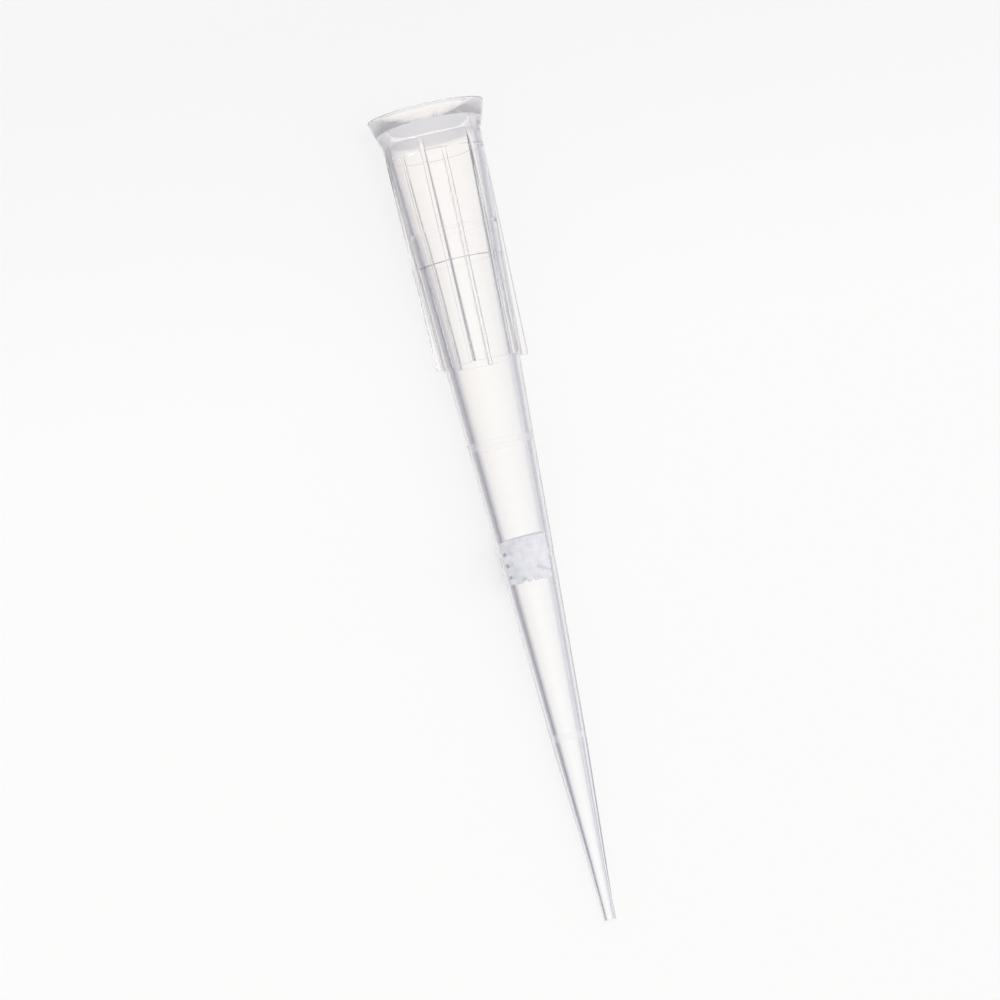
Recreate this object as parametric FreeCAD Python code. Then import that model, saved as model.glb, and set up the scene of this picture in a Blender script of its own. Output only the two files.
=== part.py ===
"""Filter pipette tip: a thin moulded cone with a finned collar, and the porous plug pressed into its bore.

Each piece is drawn about its own axis, mouth at zero and the fine end along +Z, and is then laid on its side:
the lowest point of the rim and the lowest point of the fine end stand on the plane Z = 0.
"""
import FreeCAD, Part
import math
import os

# Sizes in millimetres, measured along the axis from the mouth unless the name says otherwise.

# Outside
LENGTH = 52.5
RIM_R = 3.8               # outer radius of the rim, at the mouth
FLARE_LENGTH = 2.87       # the rim flares out of the collar over this length
FLARE_SAG = 0.07          # how far the flare's curve lies inside a straight cone
COLLAR_TOP_R = 3.16
COLLAR_END_R = 2.58
COLLAR_LENGTH = 16.46     # mouth to the step below the collar
STEP_HEIGHT = 0.17        # radial, collar down to cone
KNEE_R = 1.095            # where the long cone gets steeper
KNEE_FROM_END = 11.0
LAND_R = 0.425            # where the cone meets the short end land
LAND_LENGTH = 1.3
END_R = 0.385

# Fins along the collar
FIN_COUNT = 6
FIN_THICKNESS = 0.28
FIN_TOP_R = 3.31          # outer edge where it runs out into the flare
FIN_END_R = 3.07
FIN_START = 1.5           # hidden in the flare's wall

# Inside
RIM_FACE = 0.22           # width of the flat ring at the mouth
LEAD_IN = 0.8             # depth of the funnel that guides the pipette's nose
LEAD_IN_SAG = 0.05        # how far the funnel's curve stands inside a straight cone
SOCKET_R = 2.75           # round land that seals on the pipette's nose
SOCKET_LENGTH = 2.05
BEAD_FROM_MOUTH = 7.8     # first inner step
BEAD_TOP_R = 2.43
BEAD_R = 2.35
STOP_FROM_MOUTH = 9.87    # second inner step
STOP_TOP_R = 2.24
BORE_TOP_R = 2.19         # the measuring bore starts here
CAPILLARY_R = 0.355       # bore where the last stretch starts
CAPILLARY_LENGTH = 3.8
ORIFICE_R = 0.23

# Graduation rings, shallow frosted grooves round the cone
RING_WIDTH = 0.5
RING_DEPTH = 0.015
RINGS_FROM_END = {"100 microlitre": 30.82, "50 microlitre": 23.43, "10 microlitre": 11.81}

# Filter plug
PLUG_TOP = 27.73
PLUG_LENGTH = 2.97
PLUG_CLEARANCE = 0.01     # between the plug and the bore, all round
PLUG_EDGE = 0.08          # small bevel on both of the plug's edges

SECTOR = 360.0 / FIN_COUNT
KNEE = LENGTH - KNEE_FROM_END
LAND = LENGTH - LAND_LENGTH
CONE_TOP_R = COLLAR_END_R - STEP_HEIGHT
SOCKET_END = LEAD_IN + SOCKET_LENGTH
CAPILLARY = LENGTH - CAPILLARY_LENGTH
LYING_ANGLE = math.atan2(RIM_R - END_R, LENGTH)


def at(radius, along):
    return FreeCAD.Vector(radius, 0, along)


def straight(start, end):
    return Part.LineSegment(start, end).toShape()


def bowed(start, end, sag):
    """An arc from start to end whose middle lies sag away from the chord, towards the axis when sag is positive."""
    chord = end - start
    aside = FreeCAD.Vector(-chord.z, 0, chord.x).normalize()
    middle = (start + end) * 0.5 + aside * sag
    return Part.Arc(start, middle, end).toShape()


def along_taper(point, start, end):
    """The radius at a distance along the straight taper from start to end, each given as (distance, radius)."""
    share = (point - start[0]) / (end[0] - start[0])
    return start[1] + share * (end[1] - start[1])


def bore_radius(point):
    return along_taper(point, (STOP_FROM_MOUTH, BORE_TOP_R), (CAPILLARY, CAPILLARY_R))


def cone_radius(point):
    if point < KNEE:
        return along_taper(point, (COLLAR_LENGTH, CONE_TOP_R), (KNEE, KNEE_R))
    return along_taper(point, (KNEE, KNEE_R), (LAND, LAND_R))


def turned(edges):
    return Part.Face(Part.Wire(edges)).revolve(at(0, 0), FreeCAD.Vector(0, 0, 1), 360)


def outside_edges():
    """The outline of the outer surface, from the rim to the fine end."""
    rim = at(RIM_R, 0)
    collar_top = at(COLLAR_TOP_R, FLARE_LENGTH)
    collar_end = at(COLLAR_END_R, COLLAR_LENGTH)
    cone_top = at(CONE_TOP_R, COLLAR_LENGTH)
    knee = at(KNEE_R, KNEE)
    land = at(LAND_R, LAND)
    end = at(END_R, LENGTH)
    corners = [collar_top, collar_end, cone_top, knee, land, end]
    return [bowed(rim, collar_top, FLARE_SAG)] + [straight(a, b) for a, b in zip(corners, corners[1:])]


def bore_edges():
    """The outline of the bore, from the fine end back to the mouth."""
    mouth = at(RIM_R - RIM_FACE, 0)
    socket_top = at(SOCKET_R, LEAD_IN)
    corners = [
        at(ORIFICE_R, LENGTH),
        at(CAPILLARY_R, CAPILLARY),
        at(BORE_TOP_R, STOP_FROM_MOUTH),
        at(STOP_TOP_R, STOP_FROM_MOUTH),
        at(BEAD_R, BEAD_FROM_MOUTH),
        at(BEAD_TOP_R, BEAD_FROM_MOUTH),
        at(SOCKET_R, SOCKET_END),
        socket_top,
    ]
    return [straight(a, b) for a, b in zip(corners, corners[1:])] + [bowed(socket_top, mouth, -LEAD_IN_SAG)]


def tapered_wall():
    """The whole wall of the tip, without fins or rings."""
    end_face = straight(at(END_R, LENGTH), at(ORIFICE_R, LENGTH))
    rim_face = straight(at(RIM_R - RIM_FACE, 0), at(RIM_R, 0))
    return turned(outside_edges() + [end_face] + bore_edges() + [rim_face])


def fin(angle):
    """One fin, rooted in the middle of the collar's wall and cut off square at the step."""
    root_top_r = (SOCKET_R + COLLAR_TOP_R) / 2
    root_end_r = (bore_radius(COLLAR_LENGTH) + CONE_TOP_R) / 2
    corners = [
        at(root_top_r, FIN_START),
        at(FIN_TOP_R, FIN_START),
        at(FIN_END_R, COLLAR_LENGTH),
        at(root_end_r, COLLAR_LENGTH),
    ]
    blade = Part.Face(Part.makePolygon(corners + corners[:1])).extrude(FreeCAD.Vector(0, FIN_THICKNESS, 0))
    blade.translate(FreeCAD.Vector(0, -FIN_THICKNESS / 2, 0))
    blade.rotate(at(0, 0), FreeCAD.Vector(0, 0, 1), angle)
    return blade


def ring_groove(from_end):
    """The shallow band taken off the cone at one graduation."""
    top = LENGTH - from_end - RING_WIDTH / 2
    bottom = top + RING_WIDTH
    corners = [
        at(cone_radius(top) - RING_DEPTH, top),
        at(cone_radius(top) + RING_DEPTH, top),
        at(cone_radius(bottom) + RING_DEPTH, bottom),
        at(cone_radius(bottom) - RING_DEPTH, bottom),
    ]
    return turned([straight(a, b) for a, b in zip(corners, corners[1:] + corners[:1])])


def tip_body():
    fins = [fin((index + 0.5) * SECTOR) for index in range(FIN_COUNT)]
    grooves = [ring_groove(from_end) for from_end in RINGS_FROM_END.values()]
    return tapered_wall().fuse(fins).removeSplitter().cut(grooves)


def filter_plug():
    """The porous plug, tapered to the bore that it is pressed into."""
    bottom = PLUG_TOP + PLUG_LENGTH
    top_r = bore_radius(PLUG_TOP) - PLUG_CLEARANCE
    bottom_r = bore_radius(bottom) - PLUG_CLEARANCE
    corners = [
        at(0, PLUG_TOP),
        at(top_r - PLUG_EDGE, PLUG_TOP),
        at(bore_radius(PLUG_TOP + PLUG_EDGE) - PLUG_CLEARANCE, PLUG_TOP + PLUG_EDGE),
        at(bore_radius(bottom - PLUG_EDGE) - PLUG_CLEARANCE, bottom - PLUG_EDGE),
        at(bottom_r - PLUG_EDGE, bottom),
        at(0, bottom),
    ]
    return turned([straight(a, b) for a, b in zip(corners, corners[1:] + corners[:1])])


def laid_down(shape):
    """Turns the upright shape onto its side, fine end towards +X, centred over the origin."""
    low_x = -RIM_R * math.sin(LYING_ANGLE)
    high_x = LENGTH * math.cos(LYING_ANGLE) + END_R * math.sin(LYING_ANGLE)
    shape.rotate(at(0, 0), FreeCAD.Vector(0, 1, 0), 90 + math.degrees(LYING_ANGLE))
    shape.translate(FreeCAD.Vector(-(low_x + high_x) / 2, 0, RIM_R * math.cos(LYING_ANGLE)))
    return shape


def main():
    os.makedirs("parts", exist_ok=True)
    pieces = {"tip_body": tip_body(), "filter_plug": filter_plug()}
    for name, shape in pieces.items():
        laid_down(shape).exportStep(f"parts/{name}.step")


main()
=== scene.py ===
import math

import bmesh
import bpy
from mathutils import Matrix, Vector, noise


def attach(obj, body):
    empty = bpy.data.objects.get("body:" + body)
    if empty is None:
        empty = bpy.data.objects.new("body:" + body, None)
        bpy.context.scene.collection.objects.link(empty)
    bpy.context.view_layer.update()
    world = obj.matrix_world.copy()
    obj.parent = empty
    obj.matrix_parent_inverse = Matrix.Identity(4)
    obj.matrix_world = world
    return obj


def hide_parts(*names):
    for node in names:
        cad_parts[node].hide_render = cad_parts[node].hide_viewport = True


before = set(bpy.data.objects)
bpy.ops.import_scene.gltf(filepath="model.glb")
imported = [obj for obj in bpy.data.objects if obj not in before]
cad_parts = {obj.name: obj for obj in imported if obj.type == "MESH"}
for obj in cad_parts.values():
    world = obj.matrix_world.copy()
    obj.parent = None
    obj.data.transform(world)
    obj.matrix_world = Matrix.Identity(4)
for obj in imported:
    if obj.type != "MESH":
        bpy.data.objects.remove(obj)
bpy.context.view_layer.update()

# Sizes in millimetres along the tip's own axis, mouth at zero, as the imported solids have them.
MM = 0.001

# Outside
LENGTH = 52.5
RIM_R = 3.8
RIM_FACE = 0.22
RIM_ROUND = 0.05
FLARE_LENGTH = 2.87
FLARE_END = 1.85          # the flare is a straight cone down to here, and runs on as a short land
FLARE_LAND_R = 3.195
FLARE_BLEND = 0.2         # the corner between the two is shaded over this length
COLLAR_TOP_R = 3.16
COLLAR_END_R = 2.58
COLLAR_LENGTH = 16.46
CONE_TOP_R = 2.41
KNEE = 41.5
KNEE_R = 1.095
LAND = 51.2
LAND_R = 0.425
END_R = 0.385
PARTING_DEPTH = 0.03      # the fine groove where two parts of the mould meet, at the top of the collar
PARTING_HALF = 0.05

# Inside
LEAD_IN = 0.8
LEAD_IN_SAG = 0.05        # the funnel's wall is bowed away from the axis by this
SOCKET_R = 2.75
SOCKET_END = 2.85
BEAD = 7.8
BEAD_TOP_R = 2.43
BEAD_R = 2.35
BEAD_SPREAD = 0.25        # the bead's round step takes this much on each side
STOP = 9.87
STOP_TOP_R = 2.24
STOP_SLOPE = 0.05         # axial length of the stop's small step
BORE_TOP_R = 2.19
CAPILLARY = 48.7
CAPILLARY_R = 0.355
ORIFICE_R = 0.23

# Fins
FIN_COUNT = 6
FIN_THICKNESS = 0.28
FIN_START = 1.5
FIN_FULL = 3.1            # a fin has its whole height from here on
FIN_TOP_R = 3.31
FIN_END_R = 3.07
FIN_EDGE_ROUND = 0.08
FIN_ROOT_ROUND = 0.12

# Graduation rings
RING_WIDTH = 0.5
RING_DEPTH = 0.015
RING_SIDE = 0.06          # axial length of a groove's sloping side
RINGS = (21.68, 29.07, 40.69)
SHADING_GAP = 0.03        # points this close to a groove's corners keep its shading off the cone

# Porous plug. A turn is the angle round it from its front, the side with the crease and the deep notches.
PLUG_TOP = 27.73
PLUG_END = 30.7
PLUG_FRONT = math.radians(197)    # where its front lies, round the tip's axis
PLUG_AROUND = 220         # points in a row round the plug
PLUG_LEVELS = 90          # steps between the rows down the plug
PLUG_EDGE = 0.05          # the skin draws in this much at both ends
PLUG_EDGE_SHARE = 0.05    # and does so over this share of half the plug's length
PLUG_TOP_DROP = 0.07      # the middle of the slanting top lies this far below the solid's
PLUG_SLANT = 0.06         # the top rises and falls by this round its middle
PLUG_SLANT_TURN = 0.5
PLUG_END_LIFT = 0.01
PLUG_END_RAGGED = 0.02    # the lower edge wanders by this
PLUG_SHORT_BEHIND = 0.32  # and is this much higher at the back
PLUG_HOLLOW = 0.3         # depth of the middle of its lower face
PLUG_STAND_OFF = 0.014    # the skin stands this far off the bore
PLUG_GRAIN_DEPTH = 0.012  # and its grains make that more or less
PLUG_PRESS = 0.006        # at its two flanks the skin is pressed this far into the bore's wall
PLUG_FLANK_RISE = 0.02    # and comes away by this at the end of a flank's reach
PLUG_LEFT_FLANK = (math.radians(-62), math.radians(20))    # turn of a flank's middle, and its reach
PLUG_RIGHT_FLANK = (math.radians(52), math.radians(18))
PLUG_GAPS = (28.66, 29.42, 30.17)    # small gaps across the left flank
PLUG_GAP_TURNS = (math.radians(-68), math.radians(-50))
PLUG_GAP_DEPTH = 0.045
PLUG_GAP_REACH = 0.13
PLUG_CREASE = ((math.radians(24), 29.83), (math.radians(80), 30.36))    # (turn, distance) of both its ends
PLUG_CREASE_DEPTH = 0.17
PLUG_CREASE_REACH = 0.1
PLUG_NOTCHES = (          # (turn, half its width, depth) of each notch in the lower edge
    (-0.47, 0.08, 0.26),
    (-0.33, 0.1, 0.36),
    (0.08, 0.06, 0.2),
    (0.45, 0.08, 0.1),
)
GRAIN_SIZE = 0.12         # grains of the powder that the plug is sintered from
MOTTLE_SIZE = 0.45        # cloudy patches a few grains across

# How milky the plastic is, from 0 for glass to 1 for chalk.
MILK_IN_FLARE = 0.4       # where the flare's wall is seen edge on
MILK_BELOW_FLARE = 0.03
MILK_AT_MOUTH = 0.1
MILK_IN_COLLAR = 0.03
MILK_IN_CONE = 0.02
MILK_ON_COLLAR_EDGE = 0.04    # where the wall is seen nearly along its skin
MILK_ON_CONE_EDGE = 0.16
MILK_IN_RINGS = 0.06
MILK_IN_FINS = 0.1
MILK_AS_STEP_HIGHLIGHT = 0.12
STEP_HIGHLIGHT_BAND = 0.2           # painted highlight: a milky band on each side of the bore's upper step that lightens its wall lines

LYING_ANGLE = math.atan2(RIM_R - END_R, LENGTH)
BACKDROP_COLOUR = "#FCFCFC"


# ---------------------------------------------------------------- helpers

def spread(start, end, count):
    """count + 1 numbers evenly from start to end."""
    return [start + (end - start) * index / count for index in range(count + 1)]


def taper(point, start, end):
    """The radius at a distance along a straight taper between two (distance, radius) pairs."""
    share = (point - start[0]) / (end[0] - start[0])
    return start[1] + (end[1] - start[1]) * share


def eased(share):
    """A share from 0 to 1 with a gentle start and end."""
    return share ** 2 * (3 - 2 * share)


def laid_down():
    """From the tip's own upright frame in millimetres to the row's frame in metres, lying on its side."""
    low = -RIM_R * math.sin(LYING_ANGLE)
    high = LENGTH * math.cos(LYING_ANGLE) + END_R * math.sin(LYING_ANGLE)
    place = Matrix.Translation(Vector((-(low + high) / 2, 0, RIM_R * math.cos(LYING_ANGLE))))
    return Matrix.Scale(MM, 4) @ place @ Matrix.Rotation(math.pi / 2 + LYING_ANGLE, 4, "Y")


def linear(hex_colour):
    """An sRGB hex colour as linear red, green, blue and alpha."""
    channels = [int(hex_colour[index:index + 2], 16) / 255 for index in (1, 3, 5)]
    return [c / 12.92 if c <= 0.04045 else ((c + 0.055) / 1.055) ** 2.4 for c in channels] + [1.0]


def add(tree, kind, links=None, values=None, **settings):
    """Adds a node. Links and values go to its inputs, by name or number.

    A setting goes to the node itself, or to the input of that name.
    """
    node = tree.nodes.new(kind)
    for name, value in settings.items():
        if hasattr(node, name):
            setattr(node, name, value)
        else:
            node.inputs[name.replace("_", " ")].default_value = value
    for name, value in (values or {}).items():
        node.inputs[name].default_value = value
    for name, socket in (links or {}).items():
        tree.links.new(socket, node.inputs[name])
    return node


def put_in_scene(name, data):
    """A new object with this mesh, lamp or camera."""
    piece = bpy.data.objects.new(name, data)
    bpy.context.scene.collection.objects.link(piece)
    return piece


# ---------------------------------------------------------------- the moulded body

def flare_radius(point):
    """The flare's straight cone from the rim, and the land that it runs into."""
    if point > FLARE_END:
        return taper(point, (FLARE_END, FLARE_LAND_R), (FLARE_LENGTH, COLLAR_TOP_R))
    return taper(point, (0, RIM_R), (FLARE_END, FLARE_LAND_R))


def lead_in_radius(point):
    """The funnel inside the mouth, bowed out a little from a straight cone."""
    share = point / LEAD_IN
    mouth = RIM_R - RIM_FACE
    return mouth + (SOCKET_R - mouth) * share + 4 * LEAD_IN_SAG * share * (1 - share)


def crest_radius(point):
    """The outer edge of a fin: it rises gently out of the flare."""
    full = taper(point, (FIN_START, FIN_TOP_R), (COLLAR_LENGTH, FIN_END_R))
    if point > FIN_FULL:
        return full
    share = max(0.0, (point - FLARE_END) / (FIN_FULL - FLARE_END))
    return flare_radius(point) + (full - flare_radius(point)) * eased(share)


def cone_radius(point):
    """The cone below the collar, which gets steeper at the knee."""
    if point < KNEE:
        return taper(point, (COLLAR_LENGTH, CONE_TOP_R), (KNEE, KNEE_R))
    return taper(point, (KNEE, KNEE_R), (LAND, LAND_R))


def cone_stations():
    """(distance, radius) down the cone, with a shallow groove with sloping sides at each graduation ring."""
    stations = [(COLLAR_LENGTH, CONE_TOP_R), (KNEE, KNEE_R), (LAND, LAND_R)]
    for ring in RINGS:
        top = ring - RING_WIDTH / 2
        end = ring + RING_WIDTH / 2
        sunk_top = top + RING_SIDE
        sunk_end = end - RING_SIDE
        outer = (top - SHADING_GAP, top, end, end + SHADING_GAP)
        sunk = (sunk_top, sunk_top + SHADING_GAP, sunk_end - SHADING_GAP, sunk_end)
        stations += [(point, cone_radius(point)) for point in outer]
        stations += [(point, cone_radius(point) - RING_DEPTH) for point in sunk]
    return sorted(stations)


def outside_stations():
    """(distance, radius, fin crest) for each ring of points outside, from the rim to the fine end."""
    rim = [(RIM_ROUND * (1 - math.sin(turn)), flare_radius(RIM_ROUND) - RIM_ROUND * (1 - math.cos(turn)), 0)
           for turn in spread(math.pi / 2, 0, 4)]
    down_flare = spread(2 * RIM_ROUND, FLARE_END, 26)
    down_flare += [FLARE_END + FLARE_BLEND, FLARE_LENGTH - PARTING_HALF]
    flare = [(point, flare_radius(point), crest_radius(point)) for point in down_flare]
    groove = (FLARE_LENGTH, COLLAR_TOP_R - PARTING_DEPTH, crest_radius(FLARE_LENGTH))
    collar_top = (FLARE_LENGTH, COLLAR_TOP_R)
    collar_end = (COLLAR_LENGTH, COLLAR_END_R)
    collar = [(point, taper(point, collar_top, collar_end), crest_radius(point))
              for point in spread(FLARE_LENGTH + PARTING_HALF, COLLAR_LENGTH, 24)]
    cone = [(point, radius, 0) for point, radius in cone_stations()]
    return rim + flare + [groove] + collar + cone + [(LENGTH, END_R, 0)]


def bead_radius(point):
    """The soft step at the bead."""
    above = taper(point, (SOCKET_END, SOCKET_R), (BEAD, BEAD_TOP_R))
    below = taper(point, (BEAD, BEAD_R), (STOP, STOP_TOP_R))
    return above + (below - above) * eased((point - BEAD + BEAD_SPREAD) / (2 * BEAD_SPREAD))


def bore_stations():
    """(distance, radius) for each ring of points inside, from the fine end back to the mouth."""
    lead_in = [(point, lead_in_radius(point)) for point in spread(RIM_ROUND, LEAD_IN, 16)]
    mouth = [(RIM_ROUND * (1 - math.sin(turn)), lead_in_radius(RIM_ROUND) + RIM_ROUND * (1 - math.cos(turn)))
             for turn in spread(0, math.pi / 2, 4)]
    inside = [
        (SOCKET_END, SOCKET_R),
        *[(point, bead_radius(point)) for point in spread(BEAD - BEAD_SPREAD, BEAD + BEAD_SPREAD, 16)],
        (STOP - STOP_SLOPE, STOP_TOP_R),
        (STOP, BORE_TOP_R),
        (CAPILLARY, CAPILLARY_R),
        (LENGTH, ORIFICE_R),
    ]
    return inside[::-1] + lead_in[::-1] + mouth[1:]


def half_sector(radius, crest):
    """Points from the middle of a fin to halfway to the next: crest, round edge, root, then the wall."""
    height = max(crest - radius, 0)
    edge = min(FIN_EDGE_ROUND, height / 2)
    root = min(FIN_ROOT_ROUND, height / 2)
    half = FIN_THICKNESS / 2
    rises = [(height, 0.0)]
    rises += [(height - edge * (1 - math.cos(turn)), half - edge * (1 - math.sin(turn)))
              for turn in spread(0, math.pi / 2, 3)]
    rises += [(root * (1 - math.sin(turn)), half + root * (1 - math.cos(turn)))
              for turn in spread(0, math.pi / 2, 4)]
    fin = [Vector((math.sqrt(radius ** 2 - side ** 2) + rise, side)) for rise, side in rises]
    start = math.asin(rises[-1][1] / radius)
    wall = [Vector((radius * math.cos(turn), radius * math.sin(turn)))
            for turn in spread(start, math.pi / FIN_COUNT, 14)[1:]]
    return fin + wall


def sector_ring(point, radius, crest=0, drawn_at=None):
    """One sector's points at one distance. A ring without fins is drawn at another radius and scaled."""
    half = half_sector(drawn_at or radius, crest)
    scale = radius / (drawn_at or radius)
    mirrored = [Vector((place.x, -place.y)) for place in half[:0:-1]]
    return [Vector((place.x * scale, place.y * scale, point)) for place in mirrored + half]


def body_sector():
    """A sixth of the body's skin, inside and out, open along the two planes where its copies join."""
    rings = []
    for point, radius, crest in outside_stations():
        as_it_is = crest > 0 or point < FLARE_LENGTH
        rings.append(sector_ring(point, radius, crest, None if as_it_is else COLLAR_END_R))
    rings += [sector_ring(point, radius, drawn_at=COLLAR_END_R) for point, radius in bore_stations()]
    mesh = bmesh.new()
    rows = [[mesh.verts.new(place) for place in ring] for ring in rings]
    for row, following in zip(rows, rows[1:] + rows[:1]):
        for index in range(len(row) - 1):
            mesh.faces.new((row[index], following[index], following[index + 1], row[index + 1]))
    return mesh


def copies_round_axis():
    """Geometry Nodes: copies of a sector turned round the axis, joined, welded and given their material."""
    tree = bpy.data.node_groups.new("copies_round_axis", "GeometryNodeTree")
    for name, kind in (
        ("Geometry", "NodeSocketGeometry"),
        ("Copies", "NodeSocketInt"),
        ("First turn", "NodeSocketFloat"),
        ("Weld distance", "NodeSocketFloat"),
        ("Material", "NodeSocketMaterial"),
    ):
        tree.interface.new_socket(name, in_out="INPUT", socket_type=kind)
    tree.interface.new_socket("Geometry", in_out="OUTPUT", socket_type="NodeSocketGeometry")
    given = add(tree, "NodeGroupInput").outputs
    points = add(tree, "GeometryNodeMeshLine", {"Count": given["Copies"]}, Offset=(0.0, 0.0, 0.0))
    step = add(tree, "ShaderNodeMath", {1: given["Copies"]}, {0: 2 * math.pi}, operation="DIVIDE")
    turned = add(tree, "ShaderNodeMath", {
        0: add(tree, "GeometryNodeInputIndex").outputs[0],
        1: step.outputs[0],
        2: given["First turn"],
    }, operation="MULTIPLY_ADD")
    about_axis = add(tree, "ShaderNodeCombineXYZ", {"Z": turned.outputs[0]})
    copies = add(tree, "GeometryNodeInstanceOnPoints", {
        "Points": points.outputs["Mesh"],
        "Instance": given["Geometry"],
        "Rotation": about_axis.outputs[0],
    })
    real = add(tree, "GeometryNodeRealizeInstances", {"Geometry": copies.outputs["Instances"]})
    welded = add(tree, "GeometryNodeMergeByDistance", {
        "Geometry": real.outputs["Geometry"],
        "Distance": given["Weld distance"],
    })
    finished = add(tree, "GeometryNodeSetMaterial", {
        "Geometry": welded.outputs["Geometry"],
        "Material": given["Material"],
    })
    add(tree, "NodeGroupOutput", {"Geometry": finished.outputs["Geometry"]})
    return tree


def through_nodes(name, source, tree, values):
    """The mesh that a Geometry Nodes tree makes of a bmesh, as a new plain object with one material."""
    mesh = bpy.data.meshes.new(name)
    source.to_mesh(mesh)
    source.free()
    carrier = put_in_scene(name, mesh)
    modifier = carrier.modifiers.new(tree.name, "NODES")
    modifier.node_group = tree
    for item in tree.interface.items_tree:
        if item.in_out == "INPUT" and item.name in values:
            modifier[item.identifier] = values[item.name]
    bpy.context.view_layer.update()
    depsgraph = bpy.context.evaluated_depsgraph_get()
    made = bpy.data.meshes.new_from_object(carrier.evaluated_get(depsgraph))
    bpy.data.objects.remove(carrier)
    made.name = name
    made.materials.clear()
    made.materials.append(values["Material"])
    made.polygons.foreach_set("material_index", [0] * len(made.polygons))
    return put_in_scene(name, made)


def finish_mesh(mesh, sharp_angle):
    """Lays an upright mesh down on its side, smooth but for the edges sharper than an angle in degrees."""
    mesh.transform(laid_down())
    mesh.shade_smooth()
    mesh.set_sharp_from_angle(angle=math.radians(sharp_angle))


def moulded_body(material):
    """The tip's whole moulding, made of six like sectors."""
    piece = through_nodes("moulded_body", body_sector(), copies_round_axis(), {
        "Copies": FIN_COUNT,
        "First turn": math.pi / FIN_COUNT,
        "Weld distance": 0.002,
        "Material": material,
    })
    shell = bmesh.new()
    shell.from_mesh(piece.data)
    bmesh.ops.recalc_face_normals(shell, faces=shell.faces)
    shell.to_mesh(piece.data)
    shell.free()
    finish_mesh(piece.data, 24)
    return piece


# ---------------------------------------------------------------- the porous plug

def bore_radius(point):
    """The measuring bore between the stop and the capillary."""
    return taper(point, (STOP, BORE_TOP_R), (CAPILLARY, CAPILLARY_R))


def lies_near(turn, point, start, end, reach):
    """1 on the line between two (turn, distance) places on the plug's skin, down to 0 at reach from it."""
    middle = bore_radius(point)
    here = Vector((turn * middle, point))
    first = Vector((start[0] * middle, start[1]))
    along = Vector((end[0] * middle, end[1])) - first
    share = max(0.0, min(1.0, (here - first).dot(along) / along.length_squared))
    return max(0.0, 1 - (here - first - along * share).length / reach)


def plug_stand_off(turn, point):
    """How far the plug's skin stands off the bore: pushed hard on at its flanks, with gaps and a crease."""
    coarse = noise.noise(Vector((turn * 9, 0, point * 7)))
    fine = noise.noise(Vector((turn * 23, 4, point * 17)))
    grainy = PLUG_STAND_OFF + PLUG_GRAIN_DEPTH * (coarse + 0.5 * fine)
    centre, reach = PLUG_LEFT_FLANK if turn < 0 else PLUG_RIGHT_FLANK
    flank = abs(turn - centre) / reach
    off = min(grainy, PLUG_FLANK_RISE * flank ** 4 - PLUG_PRESS)
    start, end = PLUG_GAP_TURNS
    for gap in PLUG_GAPS:
        off += PLUG_GAP_DEPTH * lies_near(turn, point, (start, gap), (end, gap), PLUG_GAP_REACH)
    return off + PLUG_CREASE_DEPTH * lies_near(turn, point, *PLUG_CREASE, PLUG_CREASE_REACH)


def plug_ends(turn):
    """Where the plug starts and ends at one turn: a slight slant on top, torn notches at the bottom."""
    top = PLUG_TOP + PLUG_TOP_DROP - PLUG_SLANT * math.sin(turn + PLUG_SLANT_TURN)
    ragged = PLUG_END_RAGGED * noise.noise(Vector((turn * 5, 2, 0)))
    end = PLUG_END - PLUG_END_LIFT + ragged - PLUG_SHORT_BEHIND * max(0.0, -math.cos(turn))
    for notch, half_width, depth in PLUG_NOTCHES:
        end -= depth * max(0.0, 1 - (abs(turn - notch) / half_width) ** 2)
    return top, end


def plug_place(turn, share):
    """The point of the plug's skin at one turn and at a share of the way down."""
    top, end = plug_ends(turn)
    point = top + (end - top) * share
    drawn_in = PLUG_EDGE * max(0.0, 1 - (1 - abs(2 * share - 1)) / PLUG_EDGE_SHARE)
    radius = bore_radius(point) - plug_stand_off(turn, point) - drawn_in
    angle = PLUG_FRONT - turn
    return radius * math.cos(angle), radius * math.sin(angle), point


def porous_plug(material):
    """The sintered plug: its skin follows the bore where it is pushed on, and its lower edge is torn."""
    plug = bmesh.new()
    turns = [2 * math.pi * (index / PLUG_AROUND - 0.5) for index in range(PLUG_AROUND)]
    rows = [[plug.verts.new(plug_place(turn, share)) for turn in turns]
            for share in spread(0, 1, PLUG_LEVELS)]
    for row, following in zip(rows, rows[1:]):
        for index in range(PLUG_AROUND):
            after = (index + 1) % PLUG_AROUND
            plug.faces.new((row[index], row[after], following[after], following[index]))
    for row, hollow in ((rows[0], 0.0), (rows[-1], PLUG_HOLLOW)):
        middle = sum((vert.co for vert in row), Vector()) / PLUG_AROUND
        centre = plug.verts.new(middle - Vector((0, 0, hollow)))
        for index in range(PLUG_AROUND):
            plug.faces.new((row[index], row[(index + 1) % PLUG_AROUND], centre))
    bmesh.ops.recalc_face_normals(plug, faces=plug.faces)
    mesh = bpy.data.meshes.new("sintered_plug")
    plug.to_mesh(mesh)
    plug.free()
    mesh.materials.append(material)
    finish_mesh(mesh, 50)
    return put_in_scene("sintered_plug", mesh)


# ---------------------------------------------------------------- materials

def new_material(name):
    """An empty material and its node tree."""
    material = bpy.data.materials.new(name)
    material.use_nodes = True
    material.node_tree.nodes.clear()
    return material, material.node_tree


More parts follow.
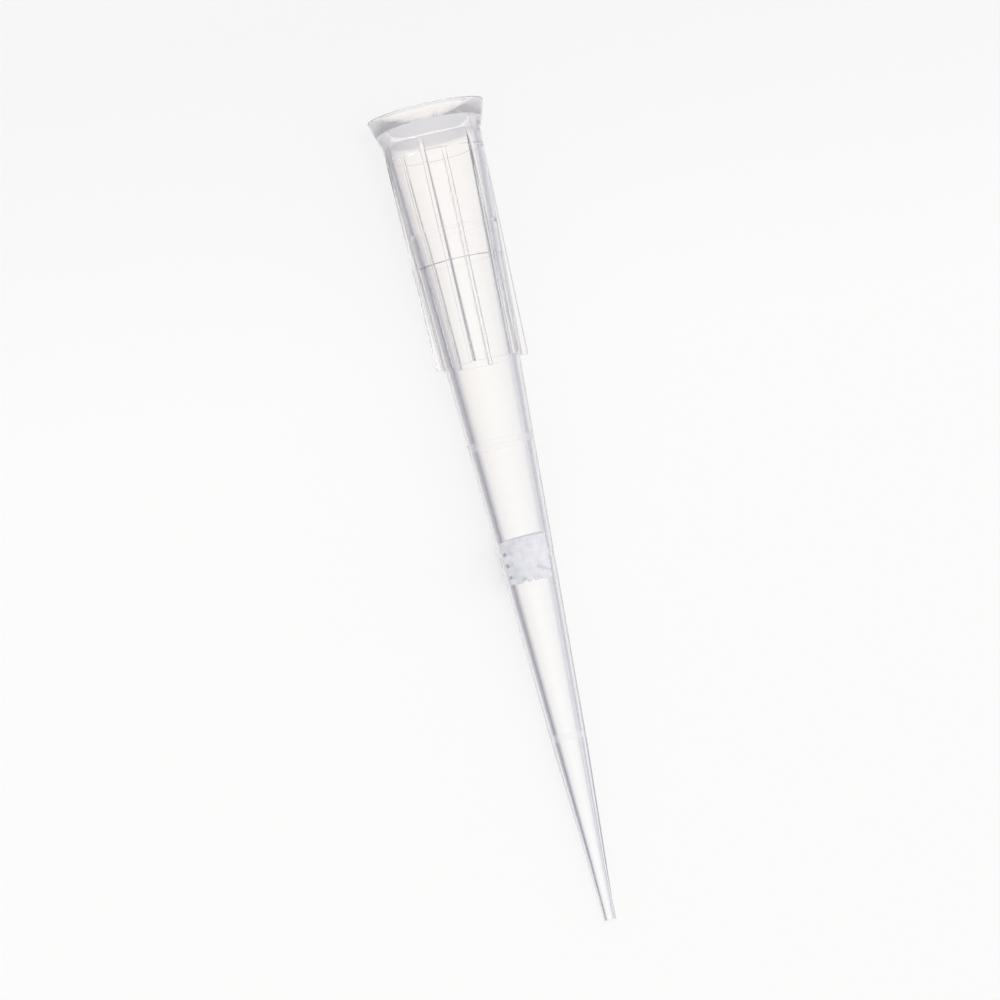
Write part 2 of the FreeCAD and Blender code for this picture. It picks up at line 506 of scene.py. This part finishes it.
def upright_place(tree):
    """How far the shaded point lies along the tip's axis from its mouth, and off that axis, in mm."""
    upright = laid_down().inverted()
    place = add(tree, "ShaderNodeTexCoord").outputs["Object"]
    own = add(tree, "ShaderNodeMapping", {"Vector": place}, Location=upright.translation,
              Rotation=upright.to_euler(), Scale=upright.to_scale())
    parts = add(tree, "ShaderNodeSeparateXYZ", {"Vector": own.outputs[0]})
    across = add(tree, "ShaderNodeCombineXYZ", {"X": parts.outputs["X"], "Y": parts.outputs["Y"]})
    from_axis = add(tree, "ShaderNodeVectorMath", {0: across.outputs[0]}, operation="LENGTH")
    return parts.outputs["Z"], from_axis.outputs["Value"]


def ring_mask(tree, axis):
    """1 in the graduation rings, 0 elsewhere."""
    upper, middle, lower = [
        add(tree, "ShaderNodeMath", {0: axis}, {1: ring, 2: RING_WIDTH / 2}, operation="COMPARE").outputs[0]
        for ring in RINGS
    ]
    two = add(tree, "ShaderNodeMath", {0: upper, 1: middle}, operation="MAXIMUM")
    return add(tree, "ShaderNodeMath", {0: two.outputs[0], 1: lower}, operation="MAXIMUM").outputs[0]


def fin_mask(tree, axis, from_axis):
    """1 in the fins, where the plastic stands out past the collar's wall, 0 elsewhere."""
    wall = add(tree, "ShaderNodeMapRange", {"Value": axis}, clamp=False, From_Min=FLARE_LENGTH,
               From_Max=COLLAR_LENGTH, To_Min=COLLAR_TOP_R, To_Max=COLLAR_END_R)
    past = add(tree, "ShaderNodeMath", {0: from_axis, 1: wall.outputs[0]}, operation="SUBTRACT")
    out = add(tree, "ShaderNodeMapRange", {"Value": past.outputs[0]}, From_Min=0.02, From_Max=0.1)
    below = add(tree, "ShaderNodeMapRange", {"Value": axis}, From_Min=FLARE_END, From_Max=FLARE_LENGTH)
    both = add(tree, "ShaderNodeMath", {0: out.outputs[0], 1: below.outputs[0]}, operation="MULTIPLY")
    return both.outputs[0]


def step_highlight_mask(tree, axis, from_axis):
    """1 on the bore's skin in the middle of its upper step, fading to 0 a band's width to each side. It
    places a painted highlight.
    """
    off = add(tree, "ShaderNodeMath", {0: axis}, {1: BEAD}, operation="SUBTRACT")
    away = add(tree, "ShaderNodeMath", {0: off.outputs[0]}, operation="ABSOLUTE")
    near = add(tree, "ShaderNodeMapRange", {"Value": away.outputs[0]}, From_Min=0.0, From_Max=STEP_HIGHLIGHT_BAND,
               To_Min=1.0, To_Max=0.0, interpolation_type="SMOOTHSTEP")
    bore = add(tree, "ShaderNodeMath", {0: from_axis}, {1: COLLAR_END_R}, operation="LESS_THAN")
    both = add(tree, "ShaderNodeMath", {0: near.outputs[0], 1: bore.outputs[0]}, operation="MULTIPLY")
    return both.outputs[0]


def wall_milk(tree, axis, edge_on):
    """How milky the wall is by its thickness: most in the flare, seen edge on, least in the thin cone."""
    wall = add(tree, "ShaderNodeMapRange", {"Value": axis}, From_Min=3.0, From_Max=18.0,
               To_Min=MILK_IN_COLLAR, To_Max=MILK_IN_CONE)
    flare = add(tree, "ShaderNodeMapRange", {"Value": axis}, From_Min=0.6, From_Max=1.5,
                To_Min=MILK_IN_FLARE, To_Max=MILK_BELOW_FLARE)
    past_face = add(tree, "ShaderNodeMapRange", {"Value": axis}, From_Min=0.03, From_Max=0.15)
    flared = add(tree, "ShaderNodeMath", {
        0: flare.outputs[0],
        1: past_face.outputs[0],
    }, operation="MULTIPLY")
    rim = add(tree, "ShaderNodeMapRange", {"Value": axis}, From_Min=0.5, From_Max=1.1,
              To_Min=MILK_AT_MOUTH, To_Max=0.0)
    thick_wall = add(tree, "ShaderNodeMath", {0: wall.outputs[0], 1: rim.outputs[0]}, operation="ADD")
    haze = add(tree, "ShaderNodeMath", {
        0: edge_on,
        1: flared.outputs[0],
        2: thick_wall.outputs[0],
    }, operation="MULTIPLY_ADD")
    return haze.outputs[0]


def body_milk(tree, axis, from_axis, rings, edge_on, steep):
    """How milky the body is at each place: wall, skin seen along it, rings, fins, and a painted highlight at
    the upper step.
    """
    skin = add(tree, "ShaderNodeMapRange", {"Value": axis}, From_Min=14.0, From_Max=20.0,
               To_Min=MILK_ON_COLLAR_EDGE, To_Max=MILK_ON_CONE_EDGE)
    haze = add(tree, "ShaderNodeMath", {
        0: steep,
        1: skin.outputs[0],
        2: wall_milk(tree, axis, edge_on),
    }, operation="MULTIPLY_ADD")
    for mask, share in (
        (rings, MILK_IN_RINGS),
        (fin_mask(tree, axis, from_axis), MILK_IN_FINS),
        # The milky band at the upper step is a painted highlight.
        (step_highlight_mask(tree, axis, from_axis), MILK_AS_STEP_HIGHLIGHT),
    ):
        haze = add(tree, "ShaderNodeMath", {0: mask, 2: haze.outputs[0]}, {1: share},
                   operation="MULTIPLY_ADD")
    return haze.outputs[0]


def glassy_plastic(tree, axis, rings):
    """The clear part of the plastic: glassy, dull in the frosted rings, a little warm at the thick mouth."""
    rough = add(tree, "ShaderNodeMapRange", {"Value": rings}, To_Min=0.04, To_Max=0.2)
    thick = add(tree, "ShaderNodeMapRange", {"Value": axis}, From_Min=0.0, From_Max=45.0)
    tint = add(tree, "ShaderNodeMix", {"Factor": thick.outputs[0]},
               {6: linear("#FFFDFB"), 7: linear("#FFFFFF")}, data_type="RGBA")
    return add(tree, "ShaderNodeBsdfPrincipled", {
        "Base Color": tint.outputs[2],
        "Roughness": rough.outputs[0],
    }, IOR=1.49, Transmission_Weight=1.0)


def clear_polypropylene():
    """Clarified polypropylene from a polished mould: glassy, with a milky haze that is densest in the thick
    flare and where the wall is seen edge on, and frosted at the rings.
    """
    material, tree = new_material("clear_polypropylene_moulded")
    axis, from_axis = upright_place(tree)
    rings = ring_mask(tree, axis)
    edge_on = add(tree, "ShaderNodeLayerWeight", Blend=0.5).outputs["Facing"]
    steep = add(tree, "ShaderNodeMath", {0: edge_on}, {1: 3.0}, operation="POWER").outputs[0]
    milk_back = add(tree, "ShaderNodeBsdfDiffuse", Color=linear("#FDFBFB"))
    milk_through = add(tree, "ShaderNodeBsdfTranslucent", Color=linear("#FDFBFB"))
    milk = add(tree, "ShaderNodeMixShader", {1: milk_back.outputs[0], 2: milk_through.outputs[0]},
               Fac=0.15)
    body = add(tree, "ShaderNodeMixShader", {
        0: body_milk(tree, axis, from_axis, rings, edge_on, steep),
        1: glassy_plastic(tree, axis, rings).outputs[0],
        2: milk.outputs[0],
    })
    shade = add(tree, "ShaderNodeMix", {"Factor": steep},
                {6: linear("#FFFFFF"), 7: linear("#DCDCE0")}, data_type="RGBA")
    path = add(tree, "ShaderNodeLightPath")
    lamps_through = add(tree, "ShaderNodeBsdfTransparent", {"Color": shade.outputs[2]})
    soft_light = add(tree, "ShaderNodeMath", {
        0: path.outputs["Is Shadow Ray"],
        1: path.outputs["Is Diffuse Ray"],
    }, operation="MAXIMUM")
    joined = add(tree, "ShaderNodeMixShader", {
        0: soft_light.outputs[0],
        1: body.outputs[0],
        2: lamps_through.outputs[0],
    })
    add(tree, "ShaderNodeOutputMaterial", {"Surface": joined.outputs[0]})
    return material


def sintered_polyethylene():
    """Polyethylene grains fused into a porous plug: dull white, mottled and finely pitted. Its upper edge is
    painted greyer, a painted shade along the line where it meets the bore.
    """
    material, tree = new_material("porous_polyethylene_sintered")
    place = add(tree, "ShaderNodeTexCoord").outputs["Object"]
    mottle = add(tree, "ShaderNodeTexNoise", {"Vector": place}, Scale=1 / (MOTTLE_SIZE * MM), Detail=4.0,
                 Roughness=0.6)
    cloudy = add(tree, "ShaderNodeMapRange", {"Value": mottle.outputs["Fac"]}, From_Min=0.3, From_Max=0.7)
    colour = add(tree, "ShaderNodeMix", {"Factor": cloudy.outputs[0]},
                 {6: linear("#DDDCE2"), 7: linear("#F2F2F4")}, data_type="RGBA")
    grains = add(tree, "ShaderNodeTexVoronoi", {"Vector": place}, Scale=1 / (GRAIN_SIZE * MM))
    bump = add(tree, "ShaderNodeBump", {"Height": grains.outputs["Distance"]}, Strength=0.5,
               Distance=0.02 * MM)
    axis, _ = upright_place(tree)
    # Painted shade: a grey band along the plug's upper edge.
    painted_edge_shade = add(tree, "ShaderNodeMapRange", {"Value": axis}, interpolation_type="SMOOTHSTEP",
                  From_Min=PLUG_TOP + 0.06, From_Max=PLUG_TOP + 0.2, To_Min=1.0, To_Max=0.0)
    edge_shaded_colour = add(tree, "ShaderNodeMix", {"Factor": painted_edge_shade.outputs[0], 6: colour.outputs[2]},
                {7: linear("#C6C2CC")}, data_type="RGBA")
    surface = add(tree, "ShaderNodeBsdfPrincipled", {
        "Base Color": edge_shaded_colour.outputs[2],
        "Normal": bump.outputs["Normal"],
    }, Roughness=0.75)
    lamps_through = add(tree, "ShaderNodeBsdfTransparent", Color=linear("#E0E0E4"))
    joined = add(tree, "ShaderNodeMixShader", {
        0: add(tree, "ShaderNodeLightPath").outputs["Is Shadow Ray"],
        1: surface.outputs[0],
        2: lamps_through.outputs[0],
    })
    add(tree, "ShaderNodeOutputMaterial", {"Surface": joined.outputs[0]})
    return material


def studio_floor():
    """White paper with a soft matt face: it takes the tip's faint shadow, and a painted shade makes it a
    little greyer past the tip's mouth.
    Far from the tip it glows as evenly as the backdrop, so that the two meet without a line.
    """
    material, tree = new_material("white_paper_sweep")
    place = add(tree, "ShaderNodeTexCoord").outputs["Object"]
    parts = add(tree, "ShaderNodeSeparateXYZ", {"Vector": place})
    # Painted shade: the paper's colour greys past the tip's mouth, as if less light fell there.
    painted_shade_past_mouth = add(tree, "ShaderNodeMapRange", {"Value": parts.outputs["X"]}, From_Min=-0.034,
                     From_Max=-0.01)
    colour = add(tree, "ShaderNodeMix", {"Factor": painted_shade_past_mouth.outputs[0]},
                 {6: linear("#F8F7F5"), 7: linear("#FDFCF9")}, data_type="RGBA")
    paper = add(tree, "ShaderNodeBsdfDiffuse", {"Color": colour.outputs[2]})
    glow = add(tree, "ShaderNodeEmission", Color=linear(BACKDROP_COLOUR))
    away = add(tree, "ShaderNodeVectorMath", {0: place}, operation="LENGTH")
    far = add(tree, "ShaderNodeMapRange", {"Value": away.outputs["Value"]}, interpolation_type="SMOOTHSTEP",
              From_Min=0.06, From_Max=0.3)
    surface = add(tree, "ShaderNodeMixShader", {
        0: far.outputs[0],
        1: paper.outputs[0],
        2: glow.outputs[0],
    })
    add(tree, "ShaderNodeOutputMaterial", {"Surface": surface.outputs[0]})
    return material


def even_backdrop():
    """A lit white sheet all round the stage."""
    material, tree = new_material("white_backdrop_lit")
    glow = add(tree, "ShaderNodeEmission", Color=linear(BACKDROP_COLOUR))
    add(tree, "ShaderNodeOutputMaterial", {"Surface": glow.outputs[0]})
    return material


# ---------------------------------------------------------------- the stage

def floor():
    """The sheet that the tip lies on. The tip's gloss and refraction show the studio and not the sheet."""
    mesh = bpy.data.meshes.new("floor")
    half = 0.95
    corners = [(-half, -half, 0), (half, -half, 0), (half, half, 0), (-half, half, 0)]
    mesh.from_pydata(corners, [], [(0, 1, 2, 3)])
    mesh.materials.append(studio_floor())
    piece = put_in_scene("floor", mesh)
    piece.visible_transmission = False
    piece.visible_glossy = False
    piece.visible_shadow = False


def backdrop():
    """A wide globe round the stage, there for the eye alone: it lights nothing and casts no shadow."""
    shell = bmesh.new()
    bmesh.ops.create_uvsphere(shell, u_segments=48, v_segments=24, radius=1.4)
    mesh = bpy.data.meshes.new("backdrop")
    shell.to_mesh(mesh)
    shell.free()
    mesh.materials.append(even_backdrop())
    piece = put_in_scene("backdrop", mesh)
    piece.visible_diffuse = False
    piece.visible_glossy = False
    piece.visible_transmission = False
    piece.visible_volume_scatter = False
    piece.visible_shadow = False


# The studio's colours by the angle in degrees round the tip's length, from straight down, positive towards
# +Y: a white sheet under the tip, grey walls low on both sides, dimmer on the -Y side, and a pale ceiling.
# This table came out of a least squares fit to the look of the tip, and nine of its colours were then
# changed. It is no example of how a studio is set up.
STUDIO_COLOURS = [
    (-178, "#F8FAFB"),
    (-163, "#F2F5F8"),
    (-133, "#D9DFE4"),
    (-103, "#C2C6CC"),
    (-88, "#A7ACB4"),
    (-73, "#8A909C"),
    (-58, "#787D8C"),
    (-43, "#878793"),
    (-28, "#B2B0B8"),
    (-13, "#BAB8C0"),
    (2, "#F0EDEC"),
    (17, "#FFFEFD"),
    (32, "#F6F6F8"),
    (47, "#C6C6CF"),
    (62, "#B6B8C2"),
    (77, "#DEDFE4"),
    (92, "#F5F5F7"),
    (107, "#FFFFFE"),
    (137, "#FFFFFF"),
    (167, "#FBFCFD"),
]


def colours_round_tip(tree, parts):
    """The studio's colours round the tip's length, from the parts of a direction."""
    down = add(tree, "ShaderNodeMath", {0: parts["Z"]}, {1: -1.0}, operation="MULTIPLY")
    round_tip = add(tree, "ShaderNodeMath", {0: parts["Y"], 1: down.outputs[0]}, operation="ARCTAN2")
    share = add(tree, "ShaderNodeMapRange", {"Value": round_tip.outputs[0]}, From_Min=-math.pi,
                From_Max=math.pi)
    ramp = add(tree, "ShaderNodeValToRGB", {"Fac": share.outputs[0]})
    while len(ramp.color_ramp.elements) < len(STUDIO_COLOURS):
        ramp.color_ramp.elements.new(0.5)
    for element, (angle, colour) in zip(ramp.color_ramp.elements, STUDIO_COLOURS):
        element.position = angle / 360 + 0.5
        element.color = linear(colour)
    return ramp.outputs["Color"]


def studio_surroundings():
    """The studio round the tip: its colours go round the tip's length, and pale walls close both ends."""
    world = bpy.data.worlds.new("studio")
    bpy.context.scene.world = world
    world.use_nodes = True
    tree = world.node_tree
    tree.nodes.clear()
    direction = add(tree, "ShaderNodeTexCoord").outputs["Generated"]
    parts = add(tree, "ShaderNodeSeparateXYZ", {"Vector": direction}).outputs
    lengthwise = add(tree, "ShaderNodeMath", {0: parts["X"]}, operation="ABSOLUTE")
    edge = add(tree, "ShaderNodeMapRange", {"Value": lengthwise.outputs[0]}, From_Min=0.2, From_Max=0.5)
    beside = add(tree, "ShaderNodeMix", {"Factor": edge.outputs[0], 6: colours_round_tip(tree, parts)},
                 {7: linear("#B4B5C0")}, data_type="RGBA")
    ends = add(tree, "ShaderNodeMapRange", {"Value": lengthwise.outputs[0]}, From_Min=0.45, From_Max=0.7)
    around = add(tree, "ShaderNodeMix", {"Factor": ends.outputs[0], 6: beside.outputs[2]},
                 {7: linear("#F2F2F4")}, data_type="RGBA")
    lit = add(tree, "ShaderNodeBackground", {"Color": around.outputs[2]})
    add(tree, "ShaderNodeOutputWorld", {"Surface": lit.outputs[0]})


def lamp(name, place, target, size, power):
    """A softbox of a width and a height, aimed at a target."""
    light = bpy.data.lights.new(name, "AREA")
    light.shape = "RECTANGLE"
    light.size, light.size_y = size
    light.energy = power
    light.color = (1.0, 0.993, 0.975)
    box = put_in_scene(name, light)
    box.location = place
    box.rotation_euler = (target - place).to_track_quat("-Z", "Y").to_euler()
    box.visible_camera = False
    box.visible_transmission = False
    return box


def lamps():
    """A soft lamp overhead that only lights, and a narrow strip past the mouth that only glints."""
    key = lamp("key_softbox", Vector((0.0, -0.06, 0.85)), Vector((0, 0, 0)), (0.3, 0.3), 1.6)
    key.visible_glossy = False
    mouth = Vector((-0.026, -0.001, 0.002))
    towards_strip = Vector((-0.917, 0.356, -0.171))
    strip = lamp("mouth_strip", mouth + 0.5 * towards_strip, mouth, (0.03, 0.6), 0.4)
    strip.visible_diffuse = False


def camera():
    """Looks down on the lying tip from its -Y side, a little from its fine end, the mouth at the top."""
    lean = math.radians(17.2)
    from_end = math.radians(3.85)
    turn = math.radians(12.88)
    distance = 0.327
    past_middle = 1.066 * MM
    beside = 0.867 * MM
    place = laid_down()
    mouth = place @ Vector((0, 0, 0))
    end = place @ Vector((0, 0, LENGTH))
    along = (end - mouth).normalized()
    across = Vector((0, 1, 0))
    level = along.cross(across) * math.cos(lean) - across * math.sin(lean)
    towards = level * math.cos(from_end) + along * math.sin(from_end)
    down = along * math.cos(from_end) - level * math.sin(from_end)
    side = towards.cross(down)
    right = side * math.cos(turn) + down * math.sin(turn)
    up = side * math.sin(turn) - down * math.cos(turn)
    aim = (mouth + end) / 2 - down * past_middle - side * beside
    data = bpy.data.cameras.new("camera")
    data.sensor_width = 36
    data.lens = 186.3
    data.clip_start = 0.01
    data.clip_end = 20
    view = put_in_scene("camera", data)
    rotation = Matrix((right, up, towards)).transposed()
    view.matrix_world = Matrix.Translation(aim + towards * distance) @ rotation.to_4x4()
    bpy.context.scene.camera = view


def main():
    """Builds the dressed tip and its stage, and hides the two solids that they stand in for."""
    bpy.context.scene.view_settings.view_transform = "Standard"
    body = moulded_body(clear_polypropylene())
    plug = porous_plug(sintered_polyethylene())
    for piece, node, slot in (
        (body, "tip_body", "clear_polypropylene"),
        (plug, "filter_plug", "porous_polyethylene"),
    ):
        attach(piece, "root")
        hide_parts(node)
    floor()
    backdrop()
    studio_surroundings()
    lamps()
    camera()


main()
